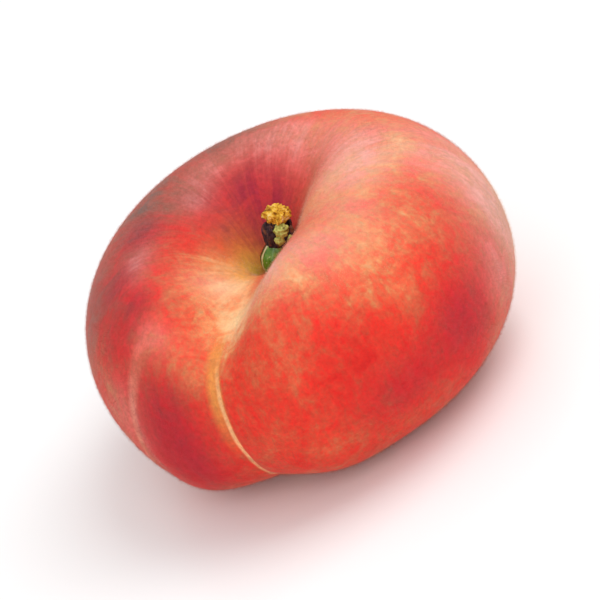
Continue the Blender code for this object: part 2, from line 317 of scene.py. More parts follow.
# The skin's colours from the palest blush to the deepest: level, colour
BLUSH_BOTTOM = -0.4
BLUSH_TOP = 1.4
BLUSH_COLOURS = (
    (BLUSH_BOTTOM, (0.88, 0.62, 0.32, 1.0)),
    (0.0, (0.83, 0.41, 0.190, 1.0)),
    (0.2, (0.73, 0.245, 0.093, 1.0)),
    (0.4, (0.68, 0.130, 0.054, 1.0)),
    (0.6, (0.67, 0.068, 0.031, 1.0)),
    (0.8, (0.68, 0.038, 0.021, 1.0)),
    (1.0, (0.64, 0.021, 0.014, 1.0)),
    (BLUSH_TOP, (0.44, 0.008, 0.010, 1.0)),
)

# What lies over the blush, among it painted sheen and painted shade: name, colour, and how much of
# it there is where the streaks and blotches are palest and reddest
OVERLAYS = (
    ("painted_sheen", (0.76, 0.44, 0.39, 1.0), 0.65, 1.35),
    ("crimson_and_shade", (0.33, 0.018, 0.037, 1.0), 1.25, 0.75),
    ("green", (0.64, 0.40, 0.055, 1.0), 0.65, 1.35),
    ("dusk_and_shade", (0.21, 0.104, 0.086, 1.0), 1.15, 0.75),
)

# The pale line in the suture, the yellow band at its left and the pale crease on the left lobe:
# their edges in millimetres, stations and colours. The crease narrows and leans round on its way.
WANDER_NOISE = (160, 2)
WANDER = 0.35
LINE_EDGE = (0.10, 0.52)
LINE_BEGINS = (1.30, 1.85)
LINE_SHARE = 0.85
LINE_COLOUR = (0.86, 0.46, 0.21, 1.0)
BAND_LEFT_EDGE = (-2.5, -0.9)
BAND_RIGHT_EDGE = (0.1, 0.9)
BAND_STATIONS = (1.0, 1.4, 1.75, 2.25)
BAND_SHARES = (0.65, 0.95)
BAND_COLOUR = (0.66, 0.26, 0.060, 1.0)
PALE_CREASE_LEAN = math.radians(15)
PALE_CREASE_NARROWS = (1.4, 2.2)
PALE_CREASE_WIDTHS = (3.0, 1.4)
PALE_CREASE_EDGE = (0.1, 1.0)
PALE_CREASE_STATIONS = (1.15, 1.95, 2.15, 2.6)
PALE_CREASE_SHARES = (0.20, 0.50)
PALE_CREASE_COLOUR = (0.74, 0.37, 0.24, 1.0)

# The brown scar at the blossom end
SCAR_EDGE = (3.84, 3.92)
SCAR_RAGGED = 0.10
SCAR_SHARE = 0.85
SCAR_COLOUR = (0.17, 0.075, 0.030, 1.0)

# The skin's noises: scale, detail, roughness and distortion
CLOUDS = (80, 2, 0.5, 0.5)
BLOTCHES = (240, 4, 0.60, 0.9)
FLECKS = (850, 3, 0.65, 0.4)
FUZZ = (1400, 2, 0.55, 0.6)
STREAKS = (7, 4, 0.62, 0.8)
THREADS = (48, 3, 0.62, 0.5)
WAVES = (190, 3, 0.5)
PORES_SCALE = 1100.0

# The range that most of a noise lies in, and the middle of it
MOST_OF_NOISE = (0.3, 0.7)
MIDDLE_OF_NOISE = (0.35, 0.65)

# How far each noise moves the blush, either way, how uneven it makes the overlays, and how far it
# moves the skin's tone. The cavity is calmer than the rest, and the threads fade in at its edge.
CLOUDED_BY = {"clouds": 0.30}
BROKEN_BY = {"blotches": 0.46, "flecks": 0.25, "threads": 0.26}
STREAKED_BY = {"streaks": 1.1, "blotches": 0.5}
UNEVEN_BY = {"streaks": 1.2, "blotches": 0.8}
UNEVEN_EDGE = (-0.5, 0.5)
TONE_BY = {"threads": 0.26, "fuzz": 0.24, "blotches": 0.22, "flecks": 0.20}
CALM_FADES = (0.5, 1.3)
CALM_SHARES = (0.5, 1.0)
THREADS_FADE_IN = (0.4, 1.0)

# The skin's fine relief: height in metres and strength
WAVE_BUMP = (0.00014, 0.6)
FLECK_BUMP = (0.00005, 0.5)
PORE_BUMP = (0.00002, 0.4)
PORE_EDGE = (0.0, 0.3)
SKIN_ROUGHNESS = (0.5, 0.68)

# The stem's noises, as for the skin, and its colours along them: place, colour
ALONG_STUB = (1, 1, 0.25)
STUB_STREAKS = (1500, 4, 0.6)
STUB_COLOURS = (
    (0.30, (0.035, 0.110, 0.006, 1.0)),
    (0.52, (0.080, 0.215, 0.012, 1.0)),
    (0.74, (0.240, 0.400, 0.055, 1.0)),
)
STUB_BUMP = (0.00006, 0.6)
STUB_ROUGHNESS = (0.22, 0.4)
DOTS = (1300, 2, 0.5)
DOTS_EDGE = (0.64, 0.72)
DOTS_COLOUR = (0.52, 0.60, 0.30, 1.0)
EDGES_UNEVEN = 0.35
STUB_EDGES = (  # name, azimuth round the stem, half width, where it starts and is full, colour
    ("pale_edge", math.radians(-134), math.radians(11), (0.45, 0.8), (0.62, 0.58, 0.36, 1.0)),
    # The dark brown edge: partly the stem's brown skin, partly painted shadow of the crevice
    # between stub and fruit
    ("brown_edge_and_shadow", math.radians(-156), math.radians(11), (0.35, 0.7), (0.055, 0.022, 0.010, 1.0)),
)
KNOB_PATCHES = (1200, 5, 0.65)
KNOB_COLOURS = (
    (0.30, (0.12, 0.085, 0.015, 1.0)),
    (0.44, (0.34, 0.34, 0.060, 1.0)),
    (0.62, (0.52, 0.54, 0.130, 1.0)),
    (0.78, (0.68, 0.66, 0.300, 1.0)),
)
KNOB_GRAIN = (2600, 3)
KNOB_BUMP = (0.00014, 0.9)
KNOB_ROUGHNESS = (0.6, 0.42)
ALONG_BARK = (1, 1, 0.3)
BARK_FIBRES = (2400, 5, 0.68, 0.6)
BARK_COLOURS = (
    (0.32, (0.010, 0.005, 0.008, 1.0)),
    (0.52, (0.036, 0.015, 0.020, 1.0)),
    (0.66, (0.110, 0.050, 0.040, 1.0)),
    (0.80, (0.300, 0.160, 0.100, 1.0)),
)
BARK_PATCHES = (  # noise, where a patch starts and is full, its share there, its colour
    ((650, 3, 0.55), (0.54, 0.68), 0.8, (0.240, 0.075, 0.025, 1.0)),
    ((420, 2, 0.5), (0.52, 0.66), 0.6, (0.060, 0.030, 0.080, 1.0)),
)
BARK_BUMP = (0.00020, 1.0)
BARK_ROUGHNESS = (0.9, 0.55)
CORK_PATCHES = (620, 3, 0.6)
CORK_CRUMBS = (2200, 4, 0.7, 0.6)
CORK_SHADED_BY = {"patches": 1.1, "crumbs": 0.8}
CORK_MIDDLE = 0.5
CORK_COLOURS = (
    (0.08, (0.13, 0.045, 0.008, 1.0)),
    (0.28, (0.46, 0.19, 0.012, 1.0)),
    (0.50, (0.74, 0.42, 0.030, 1.0)),
    (0.72, (0.82, 0.52, 0.090, 1.0)),
    (0.92, (0.86, 0.64, 0.340, 1.0)),
)
CORK_BUMP = (0.00030, 0.9)
CORK_ROUGHNESS = (0.7, 0.95)

# The down: fine short hairs
DOWN_SEED = 11
DOWN_COUNT = 150000
DOWN_LENGTH = 0.00042
DOWN_SHORTEST = 0.5
DOWN_RADIUS = 0.000009
DOWN_ROOT = 0.00002
DOWN_LEAN = 0.45
DOWN_PIECES = (  # name, blush from which and up to which it grows, colour
    ("down_on_cream", -1.0, 0.38, (0.82, 0.52, 0.34, 1.0)),
    ("down_on_orange", 0.38, 0.48, (0.74, 0.30, 0.19, 1.0)),
    ("down_on_red", 0.48, 0.60, (0.58, 0.15, 0.10, 1.0)),
    ("down_on_deep_red", 0.60, 2.0, (0.48, 0.09, 0.07, 1.0)),
)


def ease(low, high, value):
    """0 below low, 1 above high, and smooth between them."""
    share = np.clip((value - low) / (high - low), 0, 1)
    return share * share * (3 - 2 * share)


def within(amount, station, stations):
    """The amount where a form is full, fading to nothing towards both ends of its stations."""
    begins, full, ending, gone = stations
    return amount * ease(begins, full, station) * (1 - ease(ending, gone, station))


def hump(value, centre, half_width):
    """1 at the centre, and less than half of that a half width away from it."""
    return np.exp(-(((value - centre) / half_width) ** 2))


def turn_from(azimuth, start):
    """The shorter way round from start to azimuth, in radians."""
    return (azimuth - start + math.pi) % (2 * math.pi) - math.pi


def profile(station, azimuth):
    """The fruit's radius and height before the valleys and creases are pressed in."""
    turn = turn_from(azimuth, SUTURE_AZIMUTH)
    right = hump(turn, RIGHT_LOBE_AZIMUTH, RIGHT_LOBE_SPREAD)
    left = hump(turn, LEFT_LOBE_AZIMUTH, LEFT_LOBE_SPREAD)
    girth_radius = GIRTH_RADIUS * (
        1
        + OVAL_SHARE * np.cos(2 * turn)
        + THREE_SIDED_SHARE * np.cos(3 * (azimuth - THREE_SIDED_AZIMUTH))
    )
    girth_height = GIRTH_HEIGHT + RIGHT_GIRTH_RISE * right - LEFT_GIRTH_DROP * left
    crest_radius = CREST_RADIUS * (1 + CREST_OVAL_SHARE * np.cos(2 * turn))
    crest_height = CREST_HEIGHT - RIGHT_CREST_DROP * right - LEFT_CREST_DROP * left

    on_floor = np.clip(station / FLOOR_STATION, 0, 1)
    up_wall = np.clip((station - FLOOR_STATION) / (CREST - FLOOR_STATION), 0, 1) * math.pi / 2
    over_shoulder = np.clip(station - CREST, 0, 1) * math.pi / 2
    down_flank = np.clip(station - GIRTH, 0, 1) * math.pi / 2
    into_dimple = np.clip(station - RING, 0, 1)
    shoulder, flank = 2 / SHOULDER_ROUNDNESS, 2 / FLANK_ROUNDNESS

    sections = [station <= CREST, station <= GIRTH, station <= RING, station <= BLOSSOM]
    radius = np.select(
        sections,
        [
            FLOOR_RADIUS * on_floor + (crest_radius - FLOOR_RADIUS) * (1 - np.cos(up_wall)),
            crest_radius + (girth_radius - crest_radius) * np.sin(over_shoulder) ** shoulder,
            RING_RADIUS + (girth_radius - RING_RADIUS) * np.cos(down_flank) ** flank,
            RING_RADIUS * (1 - into_dimple),
        ],
    )
    height = np.select(
        sections,
        [
            FLOOR_HEIGHT + (crest_height - FLOOR_HEIGHT) * np.sin(up_wall) ** FUNNEL_POWER,
            girth_height + (crest_height - girth_height) * np.cos(over_shoulder) ** shoulder,
            girth_height * (1 - np.sin(down_flank) ** flank),
            DIMPLE_DEPTH * (1 - np.cos(math.pi * into_dimple)) / 2,
        ],
    )
    return radius, height


def valleys(station, azimuth, radius):
    """How deep the valleys in front of the cavity and behind it lie below the profile."""
    from_suture = radius * turn_from(azimuth, SUTURE_AZIMUTH)
    from_back_valley = radius * turn_from(azimuth, BACK_VALLEY_AZIMUTH)
    front = VALLEY_DEPTH * hump(station, VALLEY_STATION, VALLEY_REACH)
    front = front * np.exp(-(np.abs(from_suture / VALLEY_HALF_WIDTH) ** VALLEY_POWER))
    back = BACK_VALLEY_DEPTH * hump(station, BACK_VALLEY_STATION, BACK_VALLEY_REACH)
    back = back * np.exp(-(np.abs(from_back_valley / BACK_VALLEY_HALF_WIDTH) ** VALLEY_POWER))
    return front + back


def relief(station, azimuth, radius):
    """How far the skin stands out from its profile, or lies below it where that is negative."""
    from_suture = radius * turn_from(azimuth, SUTURE_AZIMUTH)
    from_fold = radius * turn_from(azimuth, FOLD_AZIMUTH)
    on_flank = within(1, station, HOLLOW_STATIONS)
    hollow = HOLLOW_DEPTH * on_flank * hump(from_suture, 0, HOLLOW_HALF_WIDTH)
    crease = within(CREASE_DEPTH, station, CREASE_STATIONS)
    crease = crease * np.exp(-np.abs(from_suture) / CREASE_HALF_WIDTH)
    fold = within(FOLD_DEPTH, station, FOLD_STATIONS)
    fold = fold * hump(from_fold, 0, FOLD_HALF_WIDTH)
    right = RIGHT_SWELL * hump(from_suture, RIGHT_SWELL_FROM_SUTURE, RIGHT_SWELL_HALF_WIDTH)
    right = within(right, station, RIGHT_SWELL_STATIONS)
    left = LEFT_SWELL * hump(from_suture, LEFT_SWELL_FROM_SUTURE, LEFT_SWELL_HALF_WIDTH)
    left = within(left, station, LEFT_SWELL_STATIONS)
    return right + left - hollow - crease - fold


def rested(station, azimuth, radius, height):
    """The height once the fruit rests on its feet, with the blossom end's scar."""
    between_feet = (1 - np.cos(FEET * (azimuth - FIRST_FOOT_AZIMUTH))) / 2
    height = height + FEET_RISE_BETWEEN * between_feet * hump(station, RING, FEET_REACH)
    below = station > RING
    pit = SCAR_PIT_DEPTH * hump(radius, 0, SCAR_RADIUS)
    rim = SCAR_RIM_HEIGHT * hump(radius, SCAR_RADIUS, SCAR_RIM_HALF_WIDTH)
    height = height + np.where(below, pit - rim, 0)
    return np.where(station > GIRTH, np.maximum(height - PRESSED_FLAT, 0), height - PRESSED_FLAT)


def skin(station, azimuth):
    """Points of the fruit's surface, one row for each station and azimuth."""
    radius, height = profile(station, azimuth)
    before = profile(np.maximum(station - STATION_STEP, FLOOR), azimuth)
    after = profile(np.minimum(station + STATION_STEP, BLOSSOM), azimuth)
    along_radius, along_height = after[0] - before[0], after[1] - before[1]
    length = np.hypot(along_radius, along_height)
    out = relief(station, azimuth, radius)
    height = height + along_radius / length * out - valleys(station, azimuth, radius)
    radius = radius - along_height / length * out
    height = rested(station, azimuth, radius, height)
    shift = 1 - ease(*CAVITY_SHIFT_FADES, station)
    return np.stack(
        [
            radius * np.cos(azimuth) + CAVITY_SHIFT[0] * shift,
            radius * np.sin(azimuth) + CAVITY_SHIFT[1] * shift,
            height,
        ],
        axis=-1,
    )


def linked(name, mesh):
    """A new object of the scene."""
    obj = bpy.data.objects.new(name, mesh)
    bpy.context.scene.collection.objects.link(obj)
    return obj


def painted(strokes, station, azimuth, everywhere):
    """What the strokes leave on the skin, over what is there everywhere."""
    value = np.full(station.shape, everywhere)
    for goal, strength, middle, reach, facing, spread, slant in strokes:
        turn = turn_from(azimuth, math.radians(facing))
        along = hump(turn, 0, math.radians(spread))
        value += strength * along * hump(station - slant * turn, middle, reach) * (goal - value)
    return value


def add_attribute(mesh, name, kind, values):
    attribute = mesh.attributes.new(name, kind, "POINT")
    field = "vector" if kind == "FLOAT_VECTOR" else "value"
    attribute.data.foreach_set(field, np.asarray(values, np.float32).ravel())


def skin_mesh():
    """The fruit's skin, with what its material reads: its strokes, lines and stations."""
    sphere = bmesh.new()
    bmesh.ops.create_uvsphere(sphere, u_segments=MERIDIANS, v_segments=PARALLELS, radius=1.0)
    mesh = bpy.data.meshes.new("peach_skin")
    sphere.to_mesh(mesh)
    sphere.free()
    points = np.empty(3 * len(mesh.vertices), np.float32)
    mesh.vertices.foreach_get("co", points)
    points = points.reshape(-1, 3).astype(float)
    station = BLOSSOM * np.arccos(np.clip(points[:, 2], -1, 1)) / math.pi
    even = np.arctan2(points[:, 1], points[:, 0])
    azimuth = even - SUTURE_CROWDING * np.sin(even - SUTURE_AZIMUTH)
    placed = skin(station, azimuth)
    low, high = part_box("fruit")
    middle = (placed.min(axis=0) + placed.max(axis=0)) / 2
    placed[:, 0] += (low[0] + high[0]) / 2 - middle[0]
    placed[:, 1] += (low[1] + high[1]) / 2 - middle[1]
    mesh.vertices.foreach_set("co", placed.astype(np.float32).ravel())
    mesh.shade_smooth()
    mesh.update()
    centre = Vector(((low[0] + high[0]) / 2 - middle[0], (low[1] + high[1]) / 2 - middle[1], 0))

    radius = np.hypot(placed[:, 0], placed[:, 1])
    suture = radius * turn_from(azimuth, SUTURE_AZIMUTH)
    upright = azimuth - PALE_CREASE_LEAN * (GIRTH - station)
    crease = radius * turn_from(upright, FOLD_AZIMUTH)
    for name, strokes, everywhere in PAINTED:
        add_attribute(mesh, name, "FLOAT", painted(strokes, station, azimuth, everywhere))
    add_attribute(mesh, "from_suture", "FLOAT", suture / MILLIMETRE)
    add_attribute(mesh, "from_crease", "FLOAT", crease / MILLIMETRE)
    add_attribute(mesh, "station", "FLOAT", station)
    for name, stretch in STREAK_PATHS:
        spoke = np.stack([np.cos(azimuth), np.sin(azimuth), stretch * station], axis=-1)
        add_attribute(mesh, name, "FLOAT_VECTOR", spoke)
    return mesh, centre


class Nodes:
    """The nodes of a material. Each call adds one and gives back the output that it names."""

    def __init__(self, name):
        self.material = bpy.data.materials.new(name)
        self.material.use_nodes = True
        self.tree = self.material.node_tree
        self.shader = self.tree.nodes["Principled BSDF"]

    def add(self, kind, output=0, inputs=None, **settings):
        node = self.tree.nodes.new(kind)
        for name, value in settings.items():
            setattr(node, name, value)
        for name, value in (inputs or {}).items():
            self.feed(node.inputs[name], value)
        return node.outputs[output]

    def feed(self, socket, value):
        if isinstance(value, bpy.types.NodeSocket):
            self.tree.links.new(value, socket)
        else:
            socket.default_value = value

    def attribute(self, name, output="Fac"):
        return self.add("ShaderNodeAttribute", output, attribute_name=name)

    def place(self):
        return self.add("ShaderNodeTexCoord", "Object")

    def noise(self, vector, scale, detail, roughness=0.55, distortion=0.0):
        inputs = {
            "Vector": vector,
            "Scale": scale,
            "Detail": detail,
            "Roughness": roughness,
            "Distortion": distortion,
        }
        return self.add("ShaderNodeTexNoise", "Fac", inputs)

    def calc(self, operation, first, second=0.0, third=0.0):
        inputs = {0: first, 1: second, 2: third}
        return self.add("ShaderNodeMath", 0, inputs, operation=operation)

    def spread(self, value, amount):
        """A noise's value about 0, as wide as amount each way."""
        return self.calc("MULTIPLY_ADD", value, 2.0 * amount, -amount)

    def product(self, first, *others):
        """All the values multiplied together."""
        for other in others:
            first = self.calc("MULTIPLY", first, other)
        return first

    def weighed(self, swings, weights, start=0.0):
        """The sum of the named swings, each times its weight, on top of start."""
        total = start
        for name, weight in weights.items():
            total = self.calc("MULTIPLY_ADD", swings[name], weight, total)
        return total

    def between(self, value, low, high, to_low=0.0, to_high=1.0):
        """Goes smoothly from to_low to to_high as value goes from low to high."""
        inputs = {"Value": value, 1: low, 2: high, 3: to_low, 4: to_high}
        return self.add("ShaderNodeMapRange", 0, inputs, interpolation_type="SMOOTHSTEP")

    def present(self, station, stations):
        """1 where a colour is full, and fading to 0 towards both ends of its stations."""
        begins, full, ending, gone = stations
        fades = self.between(station, ending, gone, 1.0, 0.0)
        return self.product(self.between(station, begins, full), fades)

    def mix(self, share, first, second):
        """The first colour with a share of the second over it."""
        factor, a_colour, b_colour = 0, 6, 7
        inputs = {factor: share, a_colour: first, b_colour: second}
        return self.add("ShaderNodeMix", 2, inputs, data_type="RGBA", clamp_factor=True)

    def ramp(self, value, stops):
        """Colours along value: stops is a list of (place, colour)."""
        output = self.add("ShaderNodeValToRGB", 0, {0: value})
        ramp = output.node.color_ramp
        while len(ramp.elements) < len(stops):
            ramp.elements.new(1.0)
        for element, (place, colour) in zip(ramp.elements, stops):
            element.position = place
            element.color = colour
        return output

    def bump(self, height, distance, strength, normal=None):
        inputs = {"Height": height, "Distance": distance, "Strength": strength}
        if normal is not None:
            inputs["Normal"] = normal
        return self.add("ShaderNodeBump", 0, inputs)

    def finish(self, **values):
        """Sets the shader's sockets: Base_Color stands for Base Color, and so on."""
        for name, value in values.items():
            self.feed(self.shader.inputs[name.replace("_", " ")], value)
        return self.material


def with_lines(nodes, colour, place, station, blotches):
    """The colour with the pale crease, the yellow band and the suture's pale line over it."""
    wander = nodes.spread(nodes.noise(place, *WANDER_NOISE), WANDER)
    beside = nodes.calc("ADD", nodes.attribute("from_suture"), wander)

    width = nodes.between(station, *PALE_CREASE_NARROWS, *PALE_CREASE_WIDTHS)
    crease = nodes.calc("ABSOLUTE", nodes.calc("ADD", nodes.attribute("from_crease"), wander))
    crease = nodes.product(
        nodes.between(nodes.calc("DIVIDE", crease, width), *PALE_CREASE_EDGE, 1.0, 0.0),
        nodes.present(station, PALE_CREASE_STATIONS),
        nodes.between(blotches, *MIDDLE_OF_NOISE, *PALE_CREASE_SHARES),
    )
    colour = nodes.mix(crease, colour, PALE_CREASE_COLOUR)

    band = nodes.product(
        nodes.between(beside, *BAND_LEFT_EDGE),
        nodes.between(beside, *BAND_RIGHT_EDGE, 1.0, 0.0),
        nodes.present(station, BAND_STATIONS),
        nodes.between(blotches, *MIDDLE_OF_NOISE, *BAND_SHARES),
    )
    colour = nodes.mix(band, colour, BAND_COLOUR)

    line = nodes.product(
        nodes.between(nodes.calc("ABSOLUTE", beside), *LINE_EDGE, 1.0, 0.0),
        nodes.between(station, *LINE_BEGINS),
        LINE_SHARE,
    )
    return nodes.mix(line, colour, LINE_COLOUR)


def skin_relief(nodes, place, flecks):
    """The skin's fine relief: shallow waves, flecks and pores."""
    pores = nodes.add(
        "ShaderNodeTexVoronoi", "Distance", {"Vector": place, "Scale": PORES_SCALE}, feature="F1"
    )
    normal = nodes.bump(nodes.noise(place, *WAVES), *WAVE_BUMP)
    normal = nodes.bump(flecks, *FLECK_BUMP, normal)
    return nodes.bump(nodes.between(pores, *PORE_EDGE), *PORE_BUMP, normal)


def skin_material():
    """Cream skin under a red blush that breaks up into blotches, flecks and streaks, with
    painted sheen and painted shade over it.
    """
    nodes = Nodes("peach_skin")
    place = nodes.place()
    station = nodes.attribute("station")
    noises = {
        "clouds": nodes.noise(place, *CLOUDS),
        "blotches": nodes.noise(place, *BLOTCHES),
        "flecks": nodes.noise(place, *FLECKS),
        "fuzz": nodes.noise(place, *FUZZ),
        "streaks": nodes.noise(nodes.attribute("spoke", "Vector"), *STREAKS),
        "threads": nodes.noise(nodes.attribute("thread", "Vector"), *THREADS),
    }
    swings = {name: nodes.spread(value, 1.0) for name, value in noises.items()}
    fade_in = nodes.between(station, *THREADS_FADE_IN)
    swings["threads"] = nodes.product(swings["threads"], fade_in)

    level = nodes.weighed(swings, CLOUDED_BY, nodes.attribute("blush"))
    calm = nodes.between(station, *CALM_FADES, *CALM_SHARES)
    level = nodes.calc("MULTIPLY_ADD", nodes.weighed(swings, BROKEN_BY), calm, level)
    streaked = nodes.weighed(swings, STREAKED_BY)
    level = nodes.calc("MULTIPLY_ADD", streaked, nodes.attribute("streaky"), level)
    span = BLUSH_TOP - BLUSH_BOTTOM
    share = nodes.calc("MULTIPLY_ADD", level, 1 / span, -BLUSH_BOTTOM / span)
    colour = nodes.ramp(share, [((at - BLUSH_BOTTOM) / span, hue) for at, hue in BLUSH_COLOURS])

    uneven = nodes.weighed(swings, UNEVEN_BY)
    # The overlays lay painted sheen, crimson that is partly painted shade, green, and dusk that is
    # partly painted shade over the blush
    for name, over, palest, reddest in OVERLAYS:
        amount = nodes.between(uneven, *UNEVEN_EDGE, palest, reddest)
        colour = nodes.mix(nodes.product(nodes.attribute(name), amount), colour, over)
    colour = with_lines(nodes, colour, place, station, noises["blotches"])
    ragged = nodes.calc("ADD", station, nodes.spread(noises["flecks"], SCAR_RAGGED))
    scar = nodes.between(ragged, *SCAR_EDGE, 0.0, SCAR_SHARE)
    colour = nodes.mix(scar, colour, SCAR_COLOUR)
    tone = nodes.weighed(swings, TONE_BY, 1.0)
    colour = nodes.add("ShaderNodeHueSaturation", 0, {"Value": tone, "Color": colour})

    return nodes.finish(
        Base_Color=colour,
        Roughness=nodes.between(noises["blotches"], *MOST_OF_NOISE, *SKIN_ROUGHNESS),
        Normal=skin_relief(nodes, place, noises["flecks"]),
        Specular_IOR_Level=0.12,
        Subsurface_Weight=0.1,
        Subsurface_Radius=(1.0, 0.35, 0.2),
        Subsurface_Scale=0.0012,
        Sheen_Weight=0.12,
        Sheen_Roughness=0.28,
        Sheen_Tint=(1.0, 0.88, 0.78, 1.0),
    )


def mesh_of(name, points, triangles):
    """A mesh of triangles from arrays."""
    mesh = bpy.data.meshes.new(name)
    mesh.vertices.add(len(points))
    mesh.vertices.foreach_set("co", np.asarray(points, np.float32).ravel())
    mesh.loops.add(3 * len(triangles))
    mesh.loops.foreach_set("vertex_index", np.asarray(triangles, np.int32).ravel())
    mesh.polygons.add(len(triangles))
    mesh.polygons.foreach_set("loop_start", np.arange(0, 3 * len(triangles), 3, dtype=np.int32))
    mesh.update(calc_edges=True)
    mesh.shade_smooth()
    return mesh


def roots_of_down(skin_mesh):
    """Points spread evenly over the skin, its direction outwards there, and how red it is."""
    random = np.random.default_rng(DOWN_SEED)
    mesh = skin_mesh.copy()
    mesh.calc_loop_triangles()
    corners = np.empty(3 * len(mesh.loop_triangles), np.int32)
    mesh.loop_triangles.foreach_get("vertices", corners)
    corners = corners.reshape(-1, 3)
    # Blender lists a sphere's faces in another order in each run, and the draw goes by number.
    corners = corners[np.lexsort(corners.T)]
    points = np.empty(3 * len(mesh.vertices), np.float32)
    mesh.vertices.foreach_get("co", points)
    points = points.reshape(-1, 3).astype(float)
    blush = np.empty(len(mesh.vertices), np.float32)
    mesh.attributes["blush"].data.foreach_get("value", blush)
    bpy.data.meshes.remove(mesh)
    first, second, third = (points[corners[:, side]] for side in range(3))
    across = np.cross(second - first, third - first)
    area = np.linalg.norm(across, axis=1)
    chosen = random.choice(len(corners), DOWN_COUNT, p=area / area.sum())
    one, two = random.random((2, DOWN_COUNT, 1))
    over = one + two > 1
    one, two = np.where(over, 1 - one, one), np.where(over, 1 - two, two)
    root = first[chosen] + one * (second - first)[chosen] + two * (third - first)[chosen]
    out = across[chosen] / area[chosen][:, None]
    return root, out, blush[corners[chosen, 0]], random


def spikes(name, root, out, random):
    """A thin closed spike of three sides on each root, leaning a little from its direction."""
    count = len(root)
    lean = random.normal(size=(count, 3)) * DOWN_LEAN
    lean -= out * np.sum(lean * out, axis=1, keepdims=True)
    along = out + lean
    along /= np.linalg.norm(along, axis=1, keepdims=True)
    length = DOWN_LENGTH * (DOWN_SHORTEST + random.random((count, 1)))
    side = np.cross(along, random.normal(size=(count, 3)))
    side /= np.linalg.norm(side, axis=1, keepdims=True)
    other = np.cross(along, side)
    tip = root + along * length
    clear = tip[:, 2] > 0
    root, along, side, other, tip = (values[clear] for values in (root, along, side, other, tip))
    base = [
        root - along * DOWN_ROOT + DOWN_RADIUS * (math.cos(turn) * side + math.sin(turn) * other)
        for turn in (0, 2 * math.pi / 3, 4 * math.pi / 3)
    ]
    corners = np.stack([*base, tip], axis=1).reshape(-1, 3)
    sides = np.array([[0, 2, 1], [0, 1, 3], [1, 2, 3], [2, 0, 3]])
    first = 4 * np.arange(len(root))[:, None, None]
    return mesh_of(name, corners, (first + sides).reshape(-1, 3))


def down_material(name, colour):
    """Soft hair of one colour."""
    nodes = Nodes(name)
    return nodes.finish(Base_Color=colour, Roughness=0.6, Specular_IOR_Level=0.2)


def make_down(skin_mesh):
    """Short fine hairs all over the skin, paler where it is cream and redder where it is red."""
    root, out, blush, random = roots_of_down(skin_mesh)
    for name, low, high, colour in DOWN_PIECES:
        here = (blush >= low) & (blush < high)
        hairs = linked(name, spikes(name, root[here], out[here], random))
        hairs.data.materials.append(down_material(name, colour))
        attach(hairs, "root")
        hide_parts("fruit")


def make_fruit():
    """The skin and its down. Returns where the fruit's own axis stands."""
    mesh, centre = skin_mesh()
    fruit = linked("peach_skin", mesh)
    mesh.materials.append(skin_material())
    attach(fruit, "root")
    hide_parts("fruit")
    make_down(mesh)
    return centre


def stem_piece(name, fineness, shape, place, material):
    """A closed piece of the stem: a ball whose points the shape moves, then set on the fruit."""
    segments, rings = fineness
    builder = bmesh.new()
    bmesh.ops.create_uvsphere(builder, u_segments=segments, v_segments=rings, radius=1.0)
    for vertex in builder.verts:
        vertex.co = place @ Vector(shape(*vertex.co))
    mesh = bpy.data.meshes.new(name)
    builder.to_mesh(mesh)
    builder.free()
    mesh.shade_smooth()
    piece = linked(name, mesh)
    mesh.materials.append(material)
    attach(piece, "root")
    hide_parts("stem")
    return piece


def stub_point(x, y, z):
    """The green stub, ribbed a little along its length."""
    azimuth = math.atan2(y, x)
    rib = STUB_RIB_SHARE * math.cos(STUB_RIBS * azimuth + 2 * z) * (1 - z * z)
    radius = STUB_RADIUS * (1 - STUB_NARROWING * max(z, 0)) * (1 + rib)
    return radius * x, radius * y, STUB_HEIGHT / 2 * (z + 1) - STEM_ROOT


def neck_point(x, y, z):
    """The rough core between the stub and the crown."""
    rough = 1 + NECK_ROUGH_SHARE * noise.noise(Vector((x, y, z)) * NECK_ROUGHNESS)
    radius = NECK_RADIUS * NECK_SWELL * rough
    height = (NECK_TOP + NECK_BOTTOM) / 2 + (NECK_TOP - NECK_BOTTOM) / 2 * z
    return radius * x, radius * y, height


def bud_scale_shape(number):
    """One dry bud scale: a thin pointed oval, cupped round the stem, with a rib down its back."""
    gaps, gap_turn = SCALE_UNEVEN_GAPS
    lengths, length_turn = SCALE_UNEVEN_LENGTHS
    azimuth = 2 * math.pi * (number + gaps * math.sin(gap_turn * number)) / SCALE_COUNT
    length = SCALE_LENGTH * (1 + lengths * math.sin(length_turn * number))
    across_rough, along_rough = SCALE_EDGE_ROUGHNESS

    def shape(x, y, z):
        pointed = 1 - SCALE_TIP_NARROWING * max(z, 0)
        edge = noise.noise(Vector((across_rough * x, number, along_rough * z)))
        across = x * pointed * (1 + SCALE_EDGE_SHARE * edge) * SCALE_WIDTH / 2
        through = y * SCALE_THICKNESS / 2 * (1 - SCALE_EDGE_THINNING * x * x)
        rib = SCALE_RIB_HEIGHT * hump(x, 0, SCALE_RIB_HALF_WIDTH) * max(y, 0)
        up = z * length / 2
        out = SCALE_MIDDLE_RADIUS + through + rib + up * math.tan(SCALE_SPLAY)
        out -= SCALE_CURL * x * x
        out -= SCALE_TIP_CURL * max(z, 0) ** 2
        return (
            out * math.cos(azimuth) - across * math.sin(azimuth) + SCALE_RING_SHIFT,
            out * math.sin(azimuth) + across * math.cos(azimuth),
            SCALE_MIDDLE_HEIGHT + up,
        )

    return shape


def knob_shape(radius, azimuth, distance, height):
    """One pale knob beside the scales, with shallow bumps."""

    def shape(x, y, z):
        apart = Vector((distance, 0, 0)) * KNOB_APART
        bumps = noise.noise(Vector((x, y, z)) * KNOB_BUMPINESS + apart)
        size = radius * (1 + KNOB_BUMP_SHARE * bumps)
        return (
            x * size + distance * math.cos(azimuth),
            y * size + distance * math.sin(azimuth),
            z * size + height,
        )

    return shape


